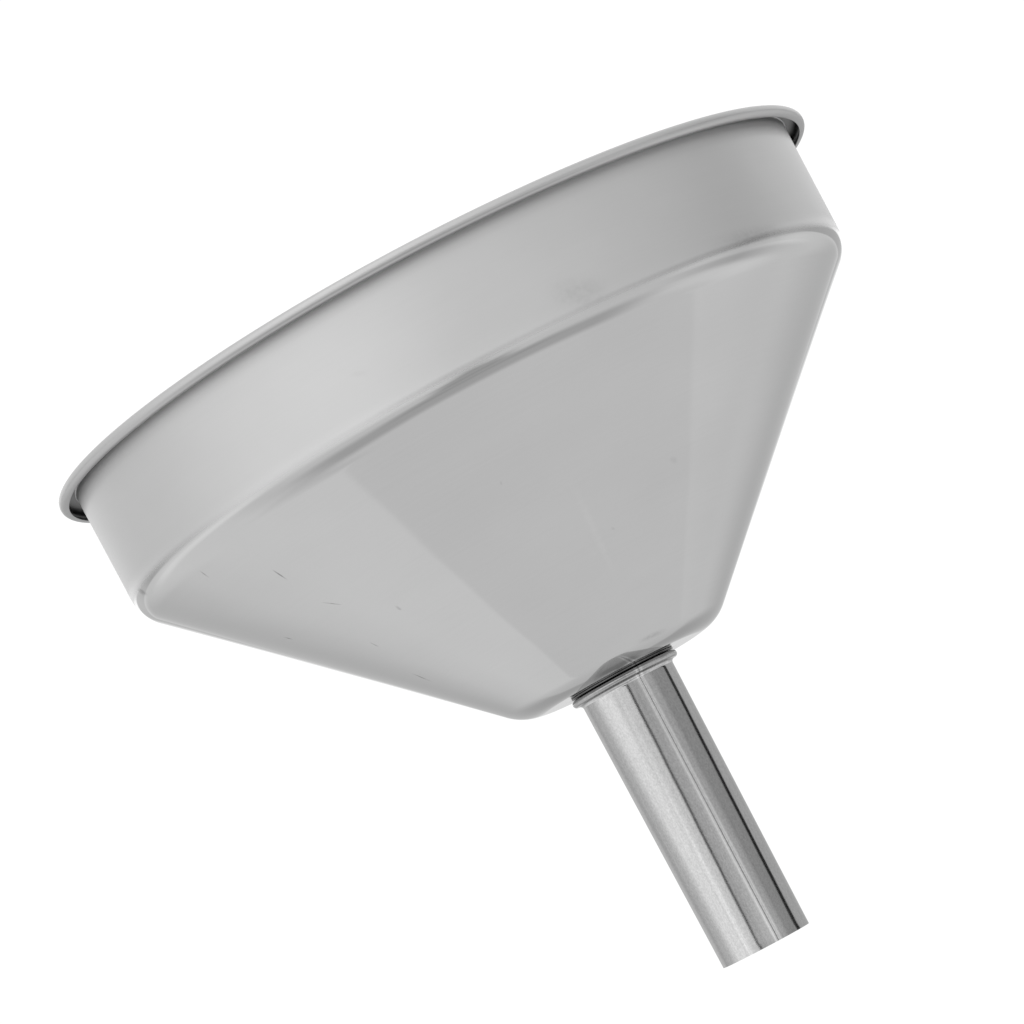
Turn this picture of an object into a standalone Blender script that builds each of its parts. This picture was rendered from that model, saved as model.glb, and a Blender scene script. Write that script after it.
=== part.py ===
"""Stainless steel funnel: a wide pressed bowl with a rolled rim, and a narrow rolled spout clinched into its floor.

Metres, +Z up. The origin is on the axis, level with the underside of the bowl's floor, where the mouth of a
bottle or jug holds the funnel. The bowl opens upwards above it, and the spout hangs below it.
The spout's weld seam is at the front, the -Y side, a little towards +X.
"""

import math

import bpy
from mathutils import Vector

# Bowl, measured on its outer face. Heights are above the underside of the floor.
RIM_RADIUS = 0.125
RIM_HEIGHT = 0.1213
BOWL_SHEET = 0.0006
CURL_RADIUS = 0.00174
CURL_SWEEP = math.radians(200)
LEDGE_BEND_RADIUS = 0.0005
WALL_TOP_RADIUS = 0.11915
WALL_FOOT_RADIUS = 0.11854
WALL_FOOT_HEIGHT = 0.0810
SHOULDER_BEND_RADIUS = 0.0123
CONE_HOLLOW = 0.0002
CONE_FOOT_RADIUS = 0.03180
FLOOR_BEND_RADIUS = 0.0159
SEAT_INNER_RADIUS = 0.0186
HOLE_DRAW = 0.0001

# Spout, measured on its outer face
SPOUT_SHEET = 0.0007
SPOUT_REACH = 0.0904
TIP_RADIUS = 0.01422
TIP_STRAIGHT = 0.0015
TUBE_TOP_RADIUS = 0.01495
FLARE_BEND_RADIUS = 0.00125
BEAD_RADIUS = 0.0174
BEAD_HEIGHT = 0.0024
NECK_RADIUS = 0.0138
NECK_BEND_RADIUS = 0.0008
LIP_RADIUS = 0.0178

# The joint between the two, and the weld along the spout
PIECE_GAP = 0.0003
SEAM_AZIMUTH = math.radians(-73.5)
SEAM_WELD_WIDTH = 0.0010
SEAM_WELD_PROUD = 0.0001

BOWL_STEPS = 64
SPOUT_STEPS = 40
WELD_STEPS = 2

STEEL_COLOUR = (0.60, 0.60, 0.60, 1.0)
WELD_COLOUR = (0.66, 0.66, 0.66, 1.0)


def clear_scene():
    for obj in list(bpy.data.objects):
        bpy.data.objects.remove(obj, do_unlink=True)


def polished_metal(name, colour, roughness):
    material = bpy.data.materials.new(name)
    material.use_nodes = True
    shader = material.node_tree.nodes["Principled BSDF"]
    shader.inputs["Base Color"].default_value = colour
    shader.inputs["Metallic"].default_value = 1.0
    shader.inputs["Roughness"].default_value = roughness
    return material


def point(radius, height):
    return Vector((radius, height))


def arc(centre, radius, start, sweep, steps):
    """Points along an arc, both ends included. Angles are in radians, anticlockwise from the outward direction."""
    angles = [start + sweep * i / steps for i in range(steps + 1)]
    return [centre + radius * Vector((math.cos(a), math.sin(a))) for a in angles]


def bend(before, corner, after, radius, steps):
    """The arc that rounds a corner of the sheet's line between the points before and after it."""
    incoming = (before - corner).normalized()
    outgoing = (after - corner).normalized()
    half_angle = incoming.angle(outgoing) / 2
    reach = radius / math.tan(half_angle)
    centre = corner + (incoming + outgoing).normalized() * radius / math.sin(half_angle)
    first = corner + incoming * reach - centre
    last = corner + outgoing * reach - centre
    start = math.atan2(first.y, first.x)
    sweep = math.remainder(math.atan2(last.y, last.x) - start, math.tau)
    return arc(centre, radius, start, sweep, steps)


def hollow_run(top, foot, depth, steps):
    """The inner points of a run that is hollow by depth at its middle, on the side facing out of the bowl."""
    along = foot - top
    inward = Vector((along.y, -along.x)).normalized()
    shares = [i / steps for i in range(1, steps)]
    return [top + along * s + inward * 4 * s * (1 - s) * depth for s in shares]


def bowl_line(hole_radius):
    """The bowl's outer face in section: round the rim's open curl, down the wall and cone, and in along the floor.

    The clinched joint draws the hole's edge up a little, so the flat seat on the floor starts outside it.
    """
    curl_centre = point(RIM_RADIUS - CURL_RADIUS, RIM_HEIGHT - CURL_RADIUS)
    curl_inside = CURL_RADIUS - BOWL_SHEET
    quarter = math.pi / 2
    curl = arc(curl_centre, curl_inside, quarter - CURL_SWEEP, CURL_SWEEP, steps=7)
    ledge_corner = point(WALL_TOP_RADIUS, RIM_HEIGHT - BOWL_SHEET)
    wall_foot = point(WALL_FOOT_RADIUS, WALL_FOOT_HEIGHT)
    cone_foot = point(CONE_FOOT_RADIUS, 0)
    seat_edge = point(SEAT_INNER_RADIUS, 0)
    hole_edge = point(hole_radius, HOLE_DRAW)
    ledge_bend = bend(curl[-1], ledge_corner, wall_foot, LEDGE_BEND_RADIUS, steps=3)
    shoulder = bend(ledge_corner, wall_foot, cone_foot, SHOULDER_BEND_RADIUS, steps=4)
    floor_bend = bend(wall_foot, cone_foot, seat_edge, FLOOR_BEND_RADIUS, steps=4)
    cone = hollow_run(shoulder[-1], floor_bend[0], CONE_HOLLOW, steps=3)
    return curl + ledge_bend + shoulder + cone + floor_bend + [seat_edge, hole_edge]


def spout_line():
    """The spout's outer face in section: the lip inside the bowl, the neck through its hole, the bead and the tube."""
    lip_height = HOLE_DRAW + BOWL_SHEET + PIECE_GAP
    bead_top = -PIECE_GAP
    bead_bottom = bead_top - BEAD_HEIGHT
    bead_bend = BEAD_HEIGHT / 2
    half_turn = math.pi
    lip_edge = point(LIP_RADIUS, lip_height)
    neck_top = point(NECK_RADIUS, lip_height)
    neck_foot = point(NECK_RADIUS, bead_top)
    bead_centre = point(BEAD_RADIUS - bead_bend, bead_top - bead_bend)
    bead = arc(bead_centre, bead_bend, half_turn / 2, -half_turn, steps=6)
    tube_top = point(TUBE_TOP_RADIUS, bead_bottom)
    tube_foot = point(TIP_RADIUS, TIP_STRAIGHT - SPOUT_REACH)
    tip = point(TIP_RADIUS, -SPOUT_REACH)
    lip_bend = bend(lip_edge, neck_top, neck_foot, NECK_BEND_RADIUS, steps=3)
    neck_bend = [neck_foot + Vector((0, PIECE_GAP)), neck_foot + Vector((PIECE_GAP, 0))]
    flare = bend(bead[-1], tube_top, tube_foot, FLARE_BEND_RADIUS, steps=3)
    return [lip_edge] + lip_bend + neck_bend + bead + flare[1:] + [tube_foot, tip]


def turned_sheet(name, line, sheet, material, collection, steps, start=0.0, sweep=math.tau):
    """Sheet metal whose outer face follows line, turned about +Z from the angle start through sweep."""
    mesh = bpy.data.meshes.new(name)
    edges = [(i, i + 1) for i in range(len(line) - 1)]
    mesh.from_pydata([(p.x, 0, p.y) for p in line], edges, [])
    obj = bpy.data.objects.new(name, mesh)
    obj.rotation_euler.z = start
    collection.objects.link(obj)
    turn = obj.modifiers.new("Turn", "SCREW")
    turn.axis = "Z"
    turn.angle = sweep
    turn.steps = steps
    turn.render_steps = steps
    turn.use_merge_vertices = False
    turn.use_smooth_shade = True
    thickness = obj.modifiers.new("Sheet", "SOLIDIFY")
    thickness.thickness = sheet
    thickness.offset = -1
    thickness.use_even_offset = True
    mesh.materials.append(material)
    return obj


def make_bowl(collection):
    steel = polished_metal("bowl_steel", STEEL_COLOUR, roughness=0.18)
    line = bowl_line(hole_radius=NECK_RADIUS + PIECE_GAP)
    return turned_sheet("bowl", line, BOWL_SHEET, steel, collection, BOWL_STEPS)


def make_spout(collection):
    """The tube is rolled from flat sheet, so it stays open along the seam that the weld fills."""
    steel = polished_metal("spout_steel", STEEL_COLOUR, roughness=0.25)
    slit = (SEAM_WELD_WIDTH + 2 * PIECE_GAP) / NECK_RADIUS
    start = SEAM_AZIMUTH + slit / 2
    sweep = math.tau - slit
    return turned_sheet("spout", spout_line(), SPOUT_SHEET, steel, collection, SPOUT_STEPS, start, sweep)


def make_seam_weld(collection):
    """The strip of weld metal between the rolled tube's two edges, from the lip to the tip."""
    steel = polished_metal("weld_steel", WELD_COLOUR, roughness=0.3)
    sweep = SEAM_WELD_WIDTH / NECK_RADIUS
    start = SEAM_AZIMUTH - sweep / 2
    weld = turned_sheet(
        "spout_seam_weld", spout_line(), SPOUT_SHEET, steel, collection, WELD_STEPS, start, sweep
    )
    thickness = weld.modifiers["Sheet"]
    thickness.thickness = SPOUT_SHEET + SEAM_WELD_PROUD
    # Solidify's offset is -1 with all the thickness inside the line and +1 with all of it outside.
    thickness.offset = 2 * SEAM_WELD_PROUD / thickness.thickness - 1
    return weld


def main():
    clear_scene()
    collection = bpy.data.collections.new("canning_funnel")
    bpy.context.scene.collection.children.link(collection)
    make_bowl(collection)
    make_spout(collection)
    make_seam_weld(collection)


main()
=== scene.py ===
"""The looks of the stainless steel funnel: fine turned sheet-metal surfaces, their steel, and a plain studio."""

import math

import bpy
from mathutils import Matrix, Vector


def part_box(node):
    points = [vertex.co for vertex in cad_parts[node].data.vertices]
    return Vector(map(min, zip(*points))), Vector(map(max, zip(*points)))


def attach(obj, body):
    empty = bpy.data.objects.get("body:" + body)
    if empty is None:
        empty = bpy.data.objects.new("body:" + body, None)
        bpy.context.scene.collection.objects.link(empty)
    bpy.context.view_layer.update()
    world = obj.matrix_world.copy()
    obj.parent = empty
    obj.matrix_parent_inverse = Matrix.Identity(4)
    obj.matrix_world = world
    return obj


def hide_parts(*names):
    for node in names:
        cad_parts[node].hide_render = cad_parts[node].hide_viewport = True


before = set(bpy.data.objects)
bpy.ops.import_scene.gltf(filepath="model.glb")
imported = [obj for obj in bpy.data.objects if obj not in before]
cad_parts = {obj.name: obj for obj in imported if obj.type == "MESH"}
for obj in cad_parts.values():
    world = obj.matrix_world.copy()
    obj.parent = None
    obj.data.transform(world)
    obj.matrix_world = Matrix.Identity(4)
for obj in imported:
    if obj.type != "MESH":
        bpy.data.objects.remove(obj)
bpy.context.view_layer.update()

MM = 0.001
ROOT = "root"

# Heights read from the frame
RIM_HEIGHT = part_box("bowl")[1].z
SPOUT_REACH = -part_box("spout")[0].z

# Bowl, on its outer face, as the CAD has it
RIM_RADIUS = 125.0 * MM
BOWL_SHEET = 0.6 * MM
CURL_RADIUS = 1.74 * MM
CURL_SWEEP = math.radians(200)
LEDGE_BEND_RADIUS = 0.5 * MM
WALL_TOP_RADIUS = 119.15 * MM
WALL_FOOT_RADIUS = 118.54 * MM
WALL_FOOT_HEIGHT = 81.0 * MM
SHOULDER_BEND_RADIUS = 12.3 * MM
CONE_HOLLOW = 0.20 * MM
CONE_FOOT_RADIUS = 31.80 * MM
FLOOR_BEND_RADIUS = 15.9 * MM
SEAT_INNER_RADIUS = 18.6 * MM
HOLE_DRAW = 0.1 * MM

# Spout, on its outer face
SPOUT_SHEET = 0.7 * MM
TIP_RADIUS = 14.22 * MM
TIP_STRAIGHT = 1.5 * MM
TUBE_TOP_RADIUS = 14.95 * MM
FLARE_BEND_RADIUS = 1.25 * MM
BEAD_RADIUS = 17.4 * MM
NECK_RADIUS = 13.8 * MM
NECK_BEND_RADIUS = 0.8 * MM
LIP_RADIUS = 17.8 * MM
PIECE_GAP = 0.3 * MM
SEAM_AZIMUTH = math.radians(-73.5)
SEAM_WELD_WIDTH = 1.0 * MM

# Collar, as finely made as the eye sees it: the bead sits under a thin fold, with a groove between the two
FOLD_RADIUS = 16.9 * MM
FOLD_TOP = -0.02 * MM
FOLD_BOTTOM = -0.60 * MM
FOLD_EDGE_RADIUS = 0.12 * MM
BEAD_TOP = -0.78 * MM
BEAD_BOTTOM = -2.95 * MM

# Fineness of the meshes: steps round each piece
BOWL_STEPS = 288
SPOUT_STEPS = 200
FOLD_STEPS = 160
SEAM_STEPS = 14
# A straight run has a point this share of its length from either end, which keeps a bend's shading out of it
RUN_END_SHARE = 0.004
# The sheet's offset at a corner is lengthened to at most the inverse of this
SHARPEST_MITRE = 0.5
# Edges sharper than this are shaded as edges
SHARP_ANGLE = math.radians(35)

# Finish of the steel: roughness, reflectivity and the share of it left at each place, and tone added. The
# crevice tone and the floor, fold and under-bead shares are painted shade, the tone near the rim is painted
# light, and the seam's ridge tone is a painted highlight
REFLECTIVITY = 0.50
WALL_ROUGHNESS = 0.37
CONE_ROUGHNESS = 0.06
TUBE_ROUGHNESS = 0.08
WELD_ROUGHNESS = 0.14
# Painted shade: the near-black tone put in the rim's curl, in the crevice by the collar and in the collar's
# grooves
CREVICE_PAINTED_SHADE = 0.05
LEDGE_SHADE = 0.92
RIM_ROUGHNESS = 0.60
SHOULDER_ROUGHNESS = 0.28
BOWL_FLOOR_SHADE_SHARE = 0.80
RIM_TONE_SHARE = 0.94
FOLD_SHADE_SHARE = 0.38
EDGE_TINT = 0.90
NEAR_RIM_PAINTED_LIGHT = 0.32
BEAD_TONE_SHARE = 0.74
UNDER_BEAD_SHADE_SHARE = 0.6
SEAM_BAND_WIDTH = 2.7 * MM
SEAM_BAND_TONE = 0.11
SEAM_RIDGE_HIGHLIGHT_TONE = 0.15
SEAM_GROOVE_SHADE = 0.30
SEAM_GROOVE_WIDTH = 0.3 * MM
SEAM_GROOVE_DEPTH = 0.12 * MM
# Fine texture. Cells: how many cells of noise there are in a metre, or in a radian where it goes round the axis.
TURNED_GRAIN_CELLS, TURNED_GRAIN_TONE = (1500.0, 1500.0, 3.0), 0.013
SMUDGE_CELLS, SMUDGE_TONE = (26.0, 26.0, 40.0), 0.045
WEAR_CELLS, WEAR_SHARE = (700.0, 700.0, 700.0), 2.2
STREAK_CELLS, STREAK_TONE = (60.0, 8.0, 1.0), 0.10
BROAD_CELLS, BROAD_TONE, BROAD_SLICE = (9.0, 14.0, 1.0), 0.09, 4.0
SPECKLE_CELLS, SPECKLE_TONE = (34.0, 1500.0, 300.0), 0.26
# Where one finish, painted shade and painted light included, passes into the next: the height or radius at which
# it hasn't begun, then where it is complete
ON_SHOULDER = (WALL_FOOT_HEIGHT + 2 * MM, WALL_FOOT_HEIGHT + 4 * MM)
ON_WALL = (WALL_FOOT_HEIGHT + 4 * MM, WALL_FOOT_HEIGHT + 8 * MM)
BY_RIM = (RIM_HEIGHT - 8 * MM, RIM_HEIGHT - 3 * MM)
NEAR_RIM = (RIM_HEIGHT - 7 * MM, RIM_HEIGHT - 2 * MM)
ON_SHEET = (WALL_TOP_RADIUS + 0.6 * MM, WALL_TOP_RADIUS + 0.2 * MM)
ON_RIM = (WALL_TOP_RADIUS + 1.0 * MM, WALL_TOP_RADIUS + 2.0 * MM)
ON_FLOOR = (4.0 * MM, 0.3 * MM)
BY_COLLAR = (FOLD_RADIUS - 0.2 * MM, FOLD_RADIUS - 0.6 * MM)
CURL_MIDDLE_RADIUS = RIM_RADIUS - CURL_RADIUS
CURL_MIDDLE_HEIGHT = RIM_HEIGHT - CURL_RADIUS
IN_CURL = (CURL_RADIUS - BOWL_SHEET * 0.35, CURL_RADIUS - BOWL_SHEET * 0.65)
BEYOND_WALL = (WALL_TOP_RADIUS + 0.1 * MM, WALL_TOP_RADIUS + 0.4 * MM)
UNDER_LEDGE = (RIM_HEIGHT - 0.3 * MM, RIM_HEIGHT - 0.5 * MM)
INSIDE_CURL_MIDDLE = (CURL_MIDDLE_RADIUS + 0.1 * MM, CURL_MIDDLE_RADIUS - 0.1 * MM)
ABOVE_CURL_MIDDLE = (CURL_MIDDLE_HEIGHT - 0.1 * MM, CURL_MIDDLE_HEIGHT + 0.1 * MM)
IN_NECK = (BEAD_RADIUS - 0.9 * MM, BEAD_RADIUS - 1.3 * MM)
BY_FLOOR = (BEAD_TOP - 0.3 * MM, BEAD_TOP)
ON_BEAD = (TUBE_TOP_RADIUS + 0.1 * MM, TUBE_TOP_RADIUS + 0.5 * MM)
ON_FOLD = (BEAD_TOP, FOLD_BOTTOM)
# Bands of finish, painted highlight and painted shade: middle, half-width, softness. The seam's are measured
# along the sheet from its middle line.
SEAM_BAND = (0.0, SEAM_BAND_WIDTH / 2, 0.15 * MM)
SEAM_RIDGE_HIGHLIGHT_BANDS = (0.82 * MM, 0.18 * MM, 0.12 * MM)
SEAM_GROOVE = (0.0, SEAM_GROOVE_WIDTH / 2, 0.1 * MM)
UNDER_BEAD = (BEAD_BOTTOM, 0.25 * MM, 0.15 * MM)
FOLD_FOOT = (FOLD_BOTTOM + 0.04 * MM, 0.14 * MM, 0.05 * MM)
# Marks of use on the bowl, and one painted dark reflection on the wall's right: azimuth from the camera's side
# in degrees, and height of the middle in mm;
# half-length and half-width in mm, and the lean from upright in degrees; tone added
MARK_SOFTNESS = 0.6
MARKS = {
    "scuff, high": (-44.8, 65.0, 2.1, 0.34, 18, -0.24),
    "scuff, middle": (-45.9, 52.2, 2.4, 0.30, -45, -0.18),
    "scuff, low": (-63.2, 24.8, 2.3, 0.45, 14, -0.26),
    "scuff, shoulder": (-53.2, 75.7, 1.6, 0.36, 36, -0.16),
    "scuff, side": (-66.7, 52.2, 1.0, 0.50, -20, -0.26),
    "scuff, small": (-54.2, 38.1, 1.2, 0.40, 13, -0.14),
    "speck, left": (-37.6, 42.3, 0.9, 0.6, 20, -0.14),
    "speck, centre": (-3.0, 56.4, 0.6, 0.3, 17, -0.05),
    "speck, right": (14.5, 33.3, 0.8, 0.4, -50, -0.05),
    "scratches, right": (32.0, 42.4, 1.9, 0.9, -60, -0.035),
    "nick, left": (-70.0, 83.2, 3.2, 1.4, -75, -0.24),
    "smudge by the collar": (21.0, 3.7, 5.2, 0.8, -88, -0.08),
    "smudge, wall": (18.6, 89.5, 9.0, 5.0, -70, -0.045),
    # The next is a painted dark reflection on the wall's right, not a mark of use
    "dark reflection, wall right": (49.0, 86.0, 18.0, 3.0, -86, -0.06),
    "smudge, wall left": (-11.9, 97.4, 3.0, 1.0, -70, -0.02),
    "streak, cone": (9.9, 34.8, 15.0, 1.4, -8, 0.012),
}
# Slight waves of the pressed and rolled sheet: depth, turns round the axis, waves per metre of height
BOWL_WAVES = ((0.020 * MM, 7, 9.0), (0.012 * MM, 16, -17.0), (0.006 * MM, 31, 41.0))
TUBE_WAVES = ((0.0035 * MM, 5, 22.0), (0.0022 * MM, 9, -55.0), (0.0012 * MM, 14, 120.0))

# Studio. Azimuths run from the camera's side towards +X, elevations up from the horizon, both in degrees.
# Each soft panel: azimuth, half-width, softness; elevation, half-height, softness; brightness added
SURROUNDINGS = 0.95
PANELS = {
    "key, front left": (-28, 40, 42, 40, 54, 8, 0.38),
    "bounce, low left": (-109, 27, 11, -38, 29, 0.8, 0.10),
    "gap, right": (97, 16, 24, 20, 46, 5, -0.31),
    "shade, front": (0, 62, 16, -40, 11, 7, -0.30),
    "shade, photographer's head": (2, 4, 3, -11, 8, 3, -0.34),
    "shade, photographer": (2, 12, 6, -23, 5, 3, -0.34),
    "shade, photographer's arms": (2, 28, 12, -31, 4, 3, -0.13),
    "bounce, far left": (-98, 32, 12, -10, 5, 3, 0.17),
    "bounce, far right": (100, 30, 12, -10, 5, 3, 0.20),
    "shade, low front left": (-80, 16, 10, -54, 12, 4, -0.07),
    "sheet, behind left": (-154, 10, 5, 8, 12, 4, 0.25),
    "sheet, behind right": (156, 9, 5, 8, 12, 4, 0.18),
    "sheet, low right": (116, 10, 12, -31, 20, 0.8, 0.065),
    "backdrop": (180, 14, 14, 33, 30, 3, 0.30),
    "shade, low behind": (180, 31, 11, -24, 21, 3, -0.24),
    "bounce, low right": (96, 22, 18, -36, 7, 5, 0.10),
    "upper glow": (0, 180, 1, 48, 50, 3, 0.15),
    "ceiling": (0, 180, 1, 90, 40, 15, 0.05),
}
# The low band of horizon that the tube mirrors, out to the backdrop: brightness, and half-height and half-width,
# each with its softness
HORIZON = 0.64
HORIZON_HEIGHT, HORIZON_SOFT = 3.4, 0.4
HORIZON_REACH, HORIZON_END_SOFT = 168, 3.0
# Beside the seam it darkens upwards: azimuth, half-width, softness; brightness added per degree
SEAM_SIDE = (22.0, 18.0, 5.0)
SEAM_SIDE_FALL = -0.055
# Each strip across it: azimuth, slope on elevation, half-width, softness; brightness added
STRIP_LEAN_LIMIT = 2.4
STRIPS = {
    "strip, left": (-64, 0.0, 25, 18, 0.70),
    "fill, far left": (-106, 0.0, 14, 10, 0.13),
    "edge light, left": (-148, 0.0, 12, 8, 0.17),
    "strip, front left": (-25.5, 3.0, 15, 3, 0.40),
    "seam side": (26, 0.0, 10, 8, 0.08),
    "gap, right": (81, 0.0, 22, 7, -0.21),
    "slot, front": (-8.0, 3.0, 2.4, 1.2, -1.30),
    "slot, right": (102.0, 2.7, 5.0, 2.4, -0.66),
}
DARKEST = 0.02
BACKDROP_WHITE = 1.05
FLOOR_DROP = 1.5
FLOOR_HALF_SIDE = 30.0
PAPER_TONE = 0.93
PAPER_ROUGHNESS = 0.9
PAPER_GRAIN_CELLS, PAPER_GRAIN_TONE = (900.0, 900.0, 1.0), 0.02

# Camera: it looks along +Y from in front and a little below, rolled so that the spout points down to the right
CAMERA_DISTANCE = 1.0825
CAMERA_HEIGHT = -0.0594
CAMERA_PITCH = 0.1079
CAMERA_YAW = 0.00591
CAMERA_ROLL = math.radians(27.9)
FRAME_PIXELS = 1024
FOCAL_PIXELS = 3655
SENSOR_WIDTH = 36.0


def point(radius, height):
    return Vector((radius, height))


def arc(centre, radius, start, sweep, steps):
    """Points along an arc, both ends included. Angles run anticlockwise from outward, in radians."""
    angles = [start + sweep * i / steps for i in range(steps + 1)]
    return [centre + radius * Vector((math.cos(a), math.sin(a))) for a in angles]


def bend(before, corner, after, radius, steps):
    """The arc that rounds a corner of the sheet's line between the points before and after it."""
    incoming = (before - corner).normalized()
    outgoing = (after - corner).normalized()
    half_angle = incoming.angle(outgoing) / 2
    reach = radius / math.tan(half_angle)
    centre = corner + (incoming + outgoing).normalized() * radius / math.sin(half_angle)
    first = corner + incoming * reach - centre
    last = corner + outgoing * reach - centre
    start = math.atan2(first.y, first.x)
    sweep = math.remainder(math.atan2(last.y, last.x) - start, math.tau)
    return arc(centre, radius, start, sweep, steps)


def run(start, end, steps, hollow=0.0):
    """The points between start and end, both left out; hollow sinks the middle of the run."""
    along = end - start
    inward = Vector((along.y, -along.x)).normalized()
    shares = [RUN_END_SHARE] + [i / steps for i in range(1, steps)] + [1 - RUN_END_SHARE]
    return [start + along * s + inward * 4 * s * (1 - s) * hollow for s in shares]


def bowl_line():
    """The bowl's outer face in section: the rim's open curl, the ledge, the wall, the cone and the floor."""
    curl_centre = point(CURL_MIDDLE_RADIUS, CURL_MIDDLE_HEIGHT)
    quarter = math.pi / 2
    curl = arc(curl_centre, CURL_RADIUS - BOWL_SHEET, quarter - CURL_SWEEP, CURL_SWEEP, steps=36)
    ledge_corner = point(WALL_TOP_RADIUS, RIM_HEIGHT - BOWL_SHEET)
    wall_foot = point(WALL_FOOT_RADIUS, WALL_FOOT_HEIGHT)
    cone_foot = point(CONE_FOOT_RADIUS, 0)
    seat_edge = point(SEAT_INNER_RADIUS, 0)
    hole_edge = point(NECK_RADIUS + PIECE_GAP, HOLE_DRAW)
    ledge_bend = bend(curl[-1], ledge_corner, wall_foot, LEDGE_BEND_RADIUS, steps=16)
    shoulder = bend(ledge_corner, wall_foot, cone_foot, SHOULDER_BEND_RADIUS, steps=24)
    floor_bend = bend(wall_foot, cone_foot, seat_edge, FLOOR_BEND_RADIUS, steps=24)
    ledge = run(curl[-1], ledge_bend[0], steps=3)
    wall = run(ledge_bend[-1], shoulder[0], steps=10)
    cone = run(shoulder[-1], floor_bend[0], steps=24, hollow=CONE_HOLLOW)
    floor = run(floor_bend[-1], seat_edge, steps=5)
    return curl + ledge + ledge_bend + wall + shoulder + cone + floor_bend + floor + [seat_edge, hole_edge]


def spout_line():
    """The spout's outer face in section: the lip inside the bowl, the neck, the bead and the tube."""
    lip_height = HOLE_DRAW + BOWL_SHEET + PIECE_GAP
    bead_bend = (BEAD_TOP - BEAD_BOTTOM) / 2
    lip_edge = point(LIP_RADIUS, lip_height)
    neck_top = point(NECK_RADIUS, lip_height)
    neck_foot = point(NECK_RADIUS, BEAD_TOP)
    bead_centre = point(BEAD_RADIUS - bead_bend, BEAD_TOP - bead_bend)
    bead = arc(bead_centre, bead_bend, math.pi / 2, -math.pi, steps=30)
    tube_top = point(TUBE_TOP_RADIUS, BEAD_BOTTOM)
    tube_foot = point(TIP_RADIUS, TIP_STRAIGHT - SPOUT_REACH)
    tip = point(TIP_RADIUS, -SPOUT_REACH)
    lip_bend = bend(lip_edge, neck_top, neck_foot, NECK_BEND_RADIUS, steps=12)
    neck_bend = bend(neck_top, neck_foot, bead[0], PIECE_GAP, steps=4)
    flare = bend(bead[-1], tube_top, tube_foot, FLARE_BEND_RADIUS, steps=16)
    tube = run(flare[-1], tube_foot, steps=30)
    return [lip_edge] + lip_bend + neck_bend + bead + flare[1:] + tube + [tube_foot, tip]


def line_normals(line):
    """Unit normals on the left of a line, scaled at its corners so that an offset keeps an even thickness."""
    sides = []
    for a, b in zip(line, line[1:]):
        along = (b - a).normalized()
        sides.append(Vector((-along.y, along.x)))
    sides = [sides[0]] + sides + [sides[-1]]
    normals = []
    for a, b in zip(sides, sides[1:]):
        middle = (a + b).normalized()
        normals.append(middle / max(middle.dot(b), SHARPEST_MITRE))
    return normals


def section(line, sheet):
    """A closed outline: the outer face, then back along the inner face."""
    inner = [p - n * sheet for p, n in zip(line, line_normals(line))]
    return line + inner[::-1]


def turned(name, outline, steps, start=0.0, sweep=math.tau):
    """A closed outline turned about +Z. A part turn has no faces over its two ends."""
    rings = steps if sweep == math.tau else steps + 1
    count = len(outline)
    vertices = []
    for j in range(rings):
        angle = start + sweep * j / steps
        c, s = math.cos(angle), math.sin(angle)
        vertices += [(p.x * c, p.x * s, p.y) for p in outline]
    faces = []
    for j in range(steps):
        a, b = j * count, (j + 1) % rings * count
        for i in range(count):
            k = (i + 1) % count
            faces.append((a + i, a + k, b + k, b + i))
    mesh = bpy.data.meshes.new(name)
    mesh.from_pydata(vertices, [], faces)
    mesh.shade_smooth()
    mesh.set_sharp_from_angle(angle=SHARP_ANGLE)
    obj = bpy.data.objects.new(name, mesh)
    bpy.context.scene.collection.objects.link(obj)
    return obj


def wave(obj, waves):
    """Moves each point in or out along its radius by a sum of slight waves, which die away out to the rim."""
    for vertex in obj.data.vertices:
        x, y, z = vertex.co
        radius = math.hypot(x, y)
        azimuth = math.atan2(y, x)
        steadied = min(1.0, (RIM_RADIUS - radius) / (RIM_RADIUS - WALL_TOP_RADIUS))
        shift = sum(depth * math.sin(turns * azimuth + math.tau * rise * z) for depth, turns, rise in waves)
        share = (radius + shift * steadied) / radius
        vertex.co = (x * share, y * share, z)


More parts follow.
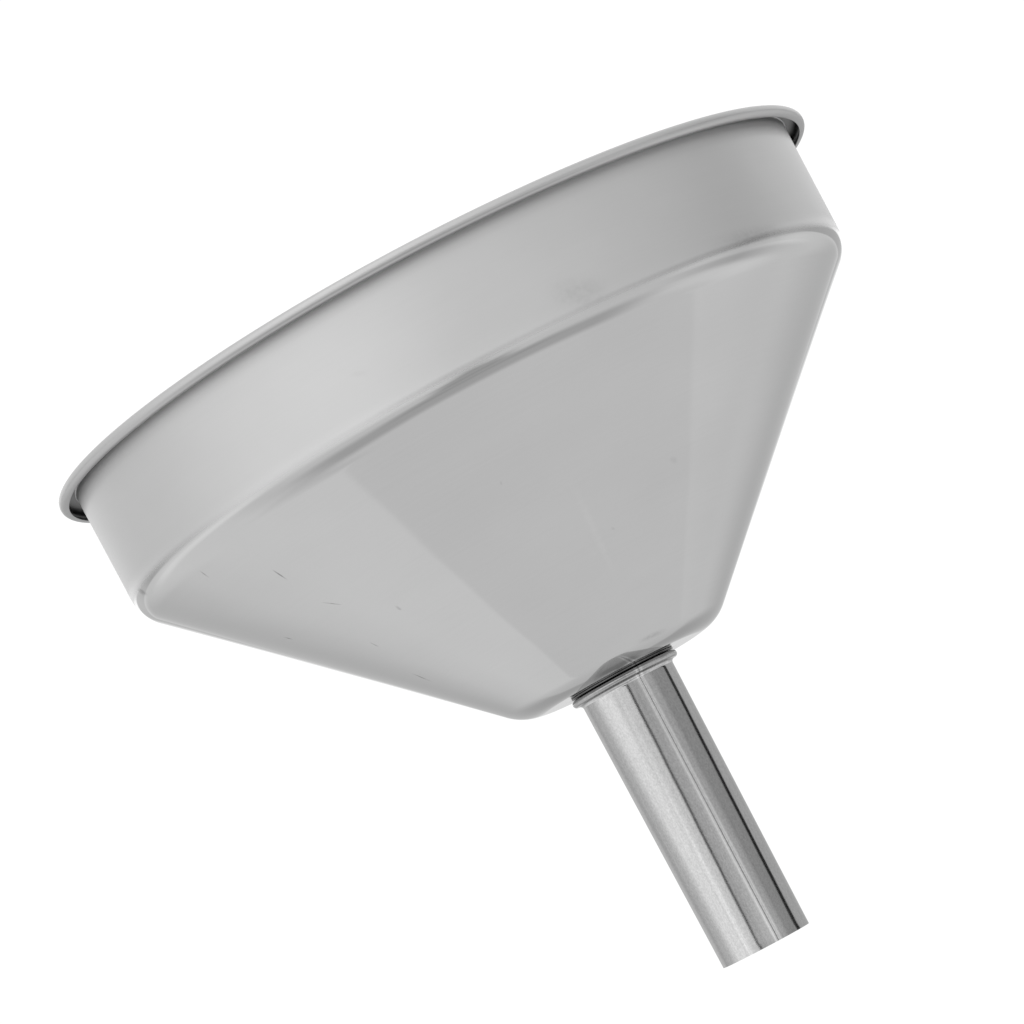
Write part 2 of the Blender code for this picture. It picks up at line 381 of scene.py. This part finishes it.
class Graph:
    """A node tree written as an expression: each call adds one node and returns its output."""

    def __init__(self, tree):
        self.tree = tree

    def add(self, kind, **settings):
        node = self.tree.nodes.new(kind)
        for name, value in settings.items():
            setattr(node, name, value)
        return node

    def feed(self, socket, value):
        if isinstance(value, bpy.types.NodeSocket):
            self.tree.links.new(value, socket)
        else:
            socket.default_value = value

    def math(self, operation, *values):
        node = self.add("ShaderNodeMath", operation=operation)
        for socket, value in zip(node.inputs, values):
            self.feed(socket, value)
        return node.outputs[0]

    def ramp(self, value, low, high):
        """0 below low and 1 above high, eased between; low may be above high."""
        node = self.add("ShaderNodeMapRange", interpolation_type="SMOOTHSTEP")
        self.feed(node.inputs["Value"], value)
        self.feed(node.inputs["From Min"], low)
        self.feed(node.inputs["From Max"], high)
        return node.outputs["Result"]

    def near(self, value, centre, half, soft):
        """1 within half of the centre, eased to 0 over soft on either side of that edge."""
        distance = self.math("ABSOLUTE", self.math("SUBTRACT", value, centre))
        return self.ramp(distance, half + soft, half - soft)

    def near_angle(self, value, centre, half, soft):
        turned = self.math("WRAP", self.math("SUBTRACT", value, centre), 180.0, -180.0)
        return self.near(turned, 0.0, half, soft)

    def blend(self, share, a, b):
        return self.math("MULTIPLY_ADD", share, self.math("SUBTRACT", b, a), a)

    def noise(self, place, cells, detail=2.0):
        """Smooth noise of a place's three numbers, about -0.5 to 0.5, with that many cells to each unit."""
        vector = self.add("ShaderNodeCombineXYZ")
        for socket, value in zip(vector.inputs, place):
            self.feed(socket, value)
        scaled = self.add("ShaderNodeVectorMath", operation="MULTIPLY")
        self.feed(scaled.inputs[0], vector.outputs[0])
        self.feed(scaled.inputs[1], cells)
        node = self.add("ShaderNodeTexNoise")
        self.feed(node.inputs["Vector"], scaled.outputs[0])
        node.inputs["Scale"].default_value = 1.0
        node.inputs["Detail"].default_value = detail
        return self.math("SUBTRACT", node.outputs["Fac"], 0.5)


def surface_place(graph):
    """Where a point of the surface is: X, Y, height, distance from the axis, and azimuth."""
    place = graph.add("ShaderNodeSeparateXYZ")
    graph.tree.links.new(graph.add("ShaderNodeTexCoord").outputs["Object"], place.inputs[0])
    x, y, z = place.outputs
    radius = graph.math("SQRT", graph.math("ADD", graph.math("MULTIPLY", x, x), graph.math("MULTIPLY", y, y)))
    azimuth = graph.math("ARCTAN2", y, x)
    return x, y, z, radius, azimuth


def new_steel(name):
    material = bpy.data.materials.new(name)
    material.use_nodes = True
    graph = Graph(material.node_tree)
    shader = material.node_tree.nodes["Principled BSDF"]
    shader.inputs["Metallic"].default_value = 1
    shader.inputs["Specular Tint"].default_value = (EDGE_TINT, EDGE_TINT, EDGE_TINT, 1)
    return material, graph, shader


def paint(graph, shader, tone, roughness):
    """Gives the shader a grey of this tone, which is the reflectivity of steel with any painted shade and light
    in it, and a roughness.
    """
    colour = graph.add("ShaderNodeCombineColor")
    for socket in colour.inputs:
        graph.feed(socket, tone)
    graph.feed(shader.inputs["Base Color"], colour.outputs[0])
    graph.feed(shader.inputs["Roughness"], roughness)


def length(graph, a, b):
    squares = graph.math("MULTIPLY_ADD", a, a, graph.math("MULTIPLY", b, b))
    return graph.math("SQRT", squares)


def rim_crevice_shade(graph, z, radius):
    """1 inside the rim's open curl and on the ledge above it, where hardly any light gets in: where the shade is
    painted.
    """
    outward = graph.math("SUBTRACT", radius, CURL_MIDDLE_RADIUS)
    upward = graph.math("SUBTRACT", z, CURL_MIDDLE_HEIGHT)
    in_curl = graph.ramp(length(graph, outward, upward), *IN_CURL)
    beyond_wall = graph.ramp(radius, *BEYOND_WALL)
    under_ledge = graph.ramp(z, *UNDER_LEDGE)
    inside = graph.ramp(radius, *INSIDE_CURL_MIDDLE)
    above = graph.ramp(z, *ABOVE_CURL_MIDDLE)
    ledge = graph.math("MULTIPLY", graph.math("MULTIPLY", under_ledge, inside), above)
    ledge = graph.math("MULTIPLY", ledge, LEDGE_SHADE)
    return graph.math("MULTIPLY", graph.math("MAXIMUM", in_curl, ledge), beyond_wall)


def mark(graph, z, radius, azimuth, place):
    """1 on a soft-edged stroke on the sheet."""
    side, height, half_length, half_width, lean, _ = place
    along_rim = graph.math("MULTIPLY", graph.math("SUBTRACT", azimuth, math.radians(side - 90)), radius)
    up = graph.math("SUBTRACT", z, height * MM)
    c, s = math.cos(math.radians(lean)), math.sin(math.radians(lean))
    along = graph.math("MULTIPLY_ADD", up, c, graph.math("MULTIPLY", along_rim, s))
    across = graph.math("MULTIPLY_ADD", up, -s, graph.math("MULTIPLY", along_rim, c))
    end = half_length * MM * MARK_SOFTNESS
    edge = half_width * MM * MARK_SOFTNESS
    ends = graph.near(along, 0.0, end, end)
    sides = graph.near(across, 0.0, edge, edge)
    return graph.math("MULTIPLY", ends, sides)


def bowl_steel():
    """Satin wall and bright cone, faint turned grain, marks of use and a painted dark reflection, painted light
    on the wall below the rim, and painted shade in the curl, on the floor and by the collar.
    """
    material, graph, shader = new_steel("bowl_steel_fine")
    x, y, z, radius, azimuth = surface_place(graph)
    roughness = graph.blend(graph.ramp(z, *ON_SHOULDER), CONE_ROUGHNESS, SHOULDER_ROUGHNESS)
    roughness = graph.blend(graph.ramp(z, *ON_WALL), roughness, WALL_ROUGHNESS)
    turned_grain = graph.noise((radius, z, azimuth), TURNED_GRAIN_CELLS)
    smudge = graph.noise((x, y, z), SMUDGE_CELLS, detail=3.0)
    tone = graph.math("MULTIPLY_ADD", turned_grain, TURNED_GRAIN_TONE, REFLECTIVITY)
    tone = graph.math("MULTIPLY_ADD", smudge, SMUDGE_TONE, tone)
    worn = graph.math("MULTIPLY_ADD", graph.noise((x, y, z), WEAR_CELLS), WEAR_SHARE, 1.0)
    for place in MARKS.values():
        stroke = graph.math("MULTIPLY", mark(graph, z, radius, azimuth, place), worn)
        tone = graph.math("MULTIPLY_ADD", stroke, place[-1], tone)
    on_sheet = graph.ramp(radius, *ON_SHEET)
    by_rim = graph.math("MULTIPLY", graph.ramp(z, *BY_RIM), on_sheet)
    roughness = graph.blend(by_rim, roughness, RIM_ROUGHNESS)
    # Painted light: the top of the wall, from 7 mm to 2 mm under the rim, is made much lighter
    lit_near_rim = graph.math("MULTIPLY", graph.ramp(z, *NEAR_RIM), on_sheet)
    tone = graph.math("MULTIPLY_ADD", lit_near_rim, NEAR_RIM_PAINTED_LIGHT, tone)
    tone = graph.math("MULTIPLY", tone, graph.blend(graph.ramp(radius, *ON_RIM), 1.0, RIM_TONE_SHARE))
    # Painted shade: the bowl's floor is darker from 4 mm high down, and near black in the crevice where the
    # collar meets it
    on_floor = graph.ramp(z, *ON_FLOOR)
    tone = graph.math("MULTIPLY", tone, graph.blend(on_floor, 1.0, BOWL_FLOOR_SHADE_SHARE))
    by_collar = graph.ramp(radius, *BY_COLLAR)
    tone = graph.blend(graph.math("MULTIPLY", by_collar, on_floor), tone, CREVICE_PAINTED_SHADE)
    # Painted shade in the rim's open curl and under its ledge
    tone = graph.blend(rim_crevice_shade(graph, z, radius), tone, CREVICE_PAINTED_SHADE)
    paint(graph, shader, tone, roughness)
    return material


def tube_tone(graph, z, radius, azimuth):
    """Fine lengthwise streaks, the brighter band ground along the seam with painted highlights on its ridges,
    and painted shade in the seam's groove, in the collar's grooves, on the fold and under the bead.
    """
    fine = graph.noise((azimuth, z, 0.0), STREAK_CELLS, detail=3.0)
    broad = graph.noise((azimuth, z, BROAD_SLICE), BROAD_CELLS)
    speckle = graph.noise((azimuth, z, radius), SPECKLE_CELLS)
    tone = graph.math("MULTIPLY_ADD", fine, STREAK_TONE, REFLECTIVITY)
    tone = graph.math("MULTIPLY_ADD", broad, BROAD_TONE, tone)
    tone = graph.math("MULTIPLY_ADD", speckle, SPECKLE_TONE, tone)
    off_seam = graph.math("MULTIPLY", graph.math("SUBTRACT", azimuth, SEAM_AZIMUTH), radius)
    band = graph.near(off_seam, *SEAM_BAND)
    # Painted highlights: two thin bright lines along the seam's ridges
    ridge_highlights = graph.near(graph.math("ABSOLUTE", off_seam), *SEAM_RIDGE_HIGHLIGHT_BANDS)
    groove = graph.near(off_seam, *SEAM_GROOVE)
    tone = graph.math("MULTIPLY_ADD", band, SEAM_BAND_TONE, tone)
    tone = graph.math("MULTIPLY_ADD", ridge_highlights, SEAM_RIDGE_HIGHLIGHT_TONE, tone)
    # Painted shade in the seam's groove
    tone = graph.math("MULTIPLY_ADD", groove, -SEAM_GROOVE_SHADE, tone)
    # Painted shade in the neck's groove, just under the bowl's floor
    in_neck = graph.math("MULTIPLY", graph.ramp(radius, *IN_NECK), graph.ramp(z, *BY_FLOOR))
    tone = graph.blend(in_neck, tone, CREVICE_PAINTED_SHADE)
    on_bead = graph.ramp(radius, *ON_BEAD)
    tone = graph.math("MULTIPLY", tone, graph.blend(on_bead, 1.0, BEAD_TONE_SHARE))
    # Painted shade on the fold under the bowl's floor, and near black in the groove at its foot
    on_fold = graph.math("MULTIPLY", graph.ramp(z, *ON_FOLD), on_bead)
    tone = graph.math("MULTIPLY", tone, graph.blend(on_fold, 1.0, FOLD_SHADE_SHARE))
    tone = graph.blend(graph.near(z, *FOLD_FOOT), tone, CREVICE_PAINTED_SHADE)
    # Painted shade under the bead
    under_bead = graph.near(z, *UNDER_BEAD)
    return graph.math("MULTIPLY", tone, graph.blend(under_bead, 1.0, UNDER_BEAD_SHADE_SHARE))


def spout_steel():
    material, graph, shader = new_steel("spout_steel_fine")
    _, _, z, radius, azimuth = surface_place(graph)
    paint(graph, shader, tube_tone(graph, z, radius, azimuth), TUBE_ROUGHNESS)
    return material


def weld_steel():
    material, graph, shader = new_steel("weld_steel_fine")
    _, _, z, radius, azimuth = surface_place(graph)
    paint(graph, shader, tube_tone(graph, z, radius, azimuth), WELD_ROUGHNESS)
    return material


def dress(obj, node, material):
    """Finishes a piece, and has it ride on the body and stand for its CAD node."""
    obj.data.materials.append(material)
    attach(obj, ROOT)
    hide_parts(node)
    return obj


def make_bowl():
    bowl = turned("funnel_bowl", section(bowl_line(), BOWL_SHEET), BOWL_STEPS)
    wave(bowl, BOWL_WAVES)
    return dress(bowl, "bowl", bowl_steel())


def make_fold():
    """The fold of the spout's sheet that seats on the bowl's floor, over the bead."""
    upper = point(FOLD_RADIUS - FOLD_EDGE_RADIUS, FOLD_TOP - FOLD_EDGE_RADIUS)
    lower = point(FOLD_RADIUS - FOLD_EDGE_RADIUS, FOLD_BOTTOM + FOLD_EDGE_RADIUS)
    quarter = math.pi / 2
    edge = arc(upper, FOLD_EDGE_RADIUS, quarter, -quarter, steps=4)
    edge += arc(lower, FOLD_EDGE_RADIUS, 0, -quarter, steps=4)
    inner = NECK_RADIUS + PIECE_GAP
    outline = [point(inner, FOLD_TOP)] + edge + [point(inner, FOLD_BOTTOM)]
    fold = turned("funnel_spout_fold", outline, FOLD_STEPS)
    return dress(fold, "spout", spout_steel())


def make_spout():
    """The rolled tube with its collar and lip, open along the slit that the weld strip fills."""
    slit = SEAM_WELD_WIDTH / NECK_RADIUS
    outline = section(spout_line(), SPOUT_SHEET)
    spout = turned("funnel_spout", outline, SPOUT_STEPS, SEAM_AZIMUTH + slit / 2, math.tau - slit)
    wave(spout, TUBE_WAVES)
    return dress(spout, "spout", spout_steel())


def sink_groove(seam):
    """Presses a fine groove into the outer face, along the middle of the weld strip."""
    for vertex in seam.data.vertices:
        x, y, z = vertex.co
        radius = math.hypot(x, y)
        off_middle = abs(math.remainder(math.atan2(y, x) - SEAM_AZIMUTH, math.tau)) * radius
        on_tube = z < BEAD_BOTTOM and radius > TIP_RADIUS - SPOUT_SHEET / 2
        if on_tube and off_middle < SEAM_GROOVE_WIDTH / 2:
            share = (radius - SEAM_GROOVE_DEPTH) / radius
            vertex.co = (x * share, y * share, z)


def make_seam():
    slit = SEAM_WELD_WIDTH / NECK_RADIUS
    outline = section(spout_line(), SPOUT_SHEET)
    seam = turned("funnel_spout_seam", outline, SEAM_STEPS, SEAM_AZIMUTH - slit / 2, slit)
    wave(seam, TUBE_WAVES)
    sink_groove(seam)
    return dress(seam, "spout_seam_weld", weld_steel())


def make_camera():
    forward = Vector(
        (
            -math.sin(CAMERA_YAW) * math.cos(CAMERA_PITCH),
            math.cos(CAMERA_YAW) * math.cos(CAMERA_PITCH),
            math.sin(CAMERA_PITCH),
        )
    )
    level = forward.cross(Vector((0, 0, 1))).normalized()
    upright = level.cross(forward)
    right = level * math.cos(CAMERA_ROLL) - upright * math.sin(CAMERA_ROLL)
    up = level * math.sin(CAMERA_ROLL) + upright * math.cos(CAMERA_ROLL)
    camera_data = bpy.data.cameras.new("camera")
    camera_data.sensor_width = SENSOR_WIDTH
    camera_data.lens = FOCAL_PIXELS / FRAME_PIXELS * SENSOR_WIDTH
    camera = bpy.data.objects.new("camera", camera_data)
    bpy.context.scene.collection.objects.link(camera)
    rotation = Matrix((right, up, -forward)).transposed().to_4x4()
    camera.matrix_world = Matrix.Translation((0, -CAMERA_DISTANCE, CAMERA_HEIGHT)) @ rotation
    bpy.context.scene.camera = camera


def studio_world():
    """Soft panels all round, which the steel mirrors. The camera itself sees plain white behind the funnel."""
    world = bpy.data.worlds.new("studio")
    world.use_nodes = True
    bpy.context.scene.world = world
    graph = Graph(world.node_tree)
    direction = graph.add("ShaderNodeSeparateXYZ")
    graph.tree.links.new(graph.add("ShaderNodeTexCoord").outputs["Generated"], direction.inputs[0])
    x, y, z = direction.outputs
    forward = graph.math("MULTIPLY", y, -1.0)
    azimuth = graph.math("DEGREES", graph.math("ARCTAN2", x, forward))
    elevation = graph.math("DEGREES", graph.math("ARCSINE", z))
    light = SURROUNDINGS
    for centre, half, soft, height, half_height, height_soft, added in PANELS.values():
        across = graph.near_angle(azimuth, centre, half, soft)
        upward = graph.near(elevation, height, half_height, height_soft)
        panel = graph.math("MULTIPLY", across, upward)
        light = graph.math("MULTIPLY_ADD", panel, added, light)
    horizon = HORIZON
    lean = graph.math("MINIMUM", elevation, STRIP_LEAN_LIMIT)
    for centre, slope, half, soft, added in STRIPS.values():
        middle = graph.math("MULTIPLY_ADD", lean, slope, centre)
        strip = graph.near(graph.math("SUBTRACT", azimuth, middle), 0.0, half, soft)
        horizon = graph.math("MULTIPLY_ADD", strip, added, horizon)
    beside_seam = graph.math("MULTIPLY", graph.near(azimuth, *SEAM_SIDE), SEAM_SIDE_FALL)
    horizon = graph.math("MULTIPLY_ADD", beside_seam, lean, horizon)
    level = graph.near(elevation, 0.0, HORIZON_HEIGHT, HORIZON_SOFT)
    in_front = graph.near(azimuth, 0.0, HORIZON_REACH, HORIZON_END_SOFT)
    light = graph.blend(graph.math("MULTIPLY", level, in_front), light, horizon)
    light = graph.math("MAXIMUM", light, DARKEST)
    background = world.node_tree.nodes["Background"]
    background.inputs["Color"].default_value = (1, 1, 1, 1)
    seen_directly = graph.add("ShaderNodeLightPath").outputs["Is Camera Ray"]
    graph.feed(background.inputs["Strength"], graph.blend(seen_directly, light, BACKDROP_WHITE))


def make_floor():
    """A pale matt floor well below the hanging funnel. The steel doesn't mirror it, only the studio's panels."""
    half = FLOOR_HALF_SIDE
    height = -SPOUT_REACH - FLOOR_DROP
    mesh = bpy.data.meshes.new("floor")
    corners = [(-half, -half, height), (half, -half, height), (half, half, height), (-half, half, height)]
    mesh.from_pydata(corners, [], [(0, 1, 2, 3)])
    floor = bpy.data.objects.new("floor", mesh)
    bpy.context.scene.collection.objects.link(floor)
    floor.visible_glossy = False
    material = bpy.data.materials.new("floor_paper")
    material.use_nodes = True
    graph = Graph(material.node_tree)
    shader = material.node_tree.nodes["Principled BSDF"]
    x, y, *_ = surface_place(graph)
    grain = graph.noise((x, y, 0.0), PAPER_GRAIN_CELLS)
    paint(graph, shader, graph.math("MULTIPLY_ADD", grain, PAPER_GRAIN_TONE, PAPER_TONE), PAPER_ROUGHNESS)
    mesh.materials.append(material)


make_bowl()
make_spout()
make_fold()
make_seam()
make_camera()
studio_world()
make_floor()
bpy.context.scene.view_settings.view_transform = "Standard"
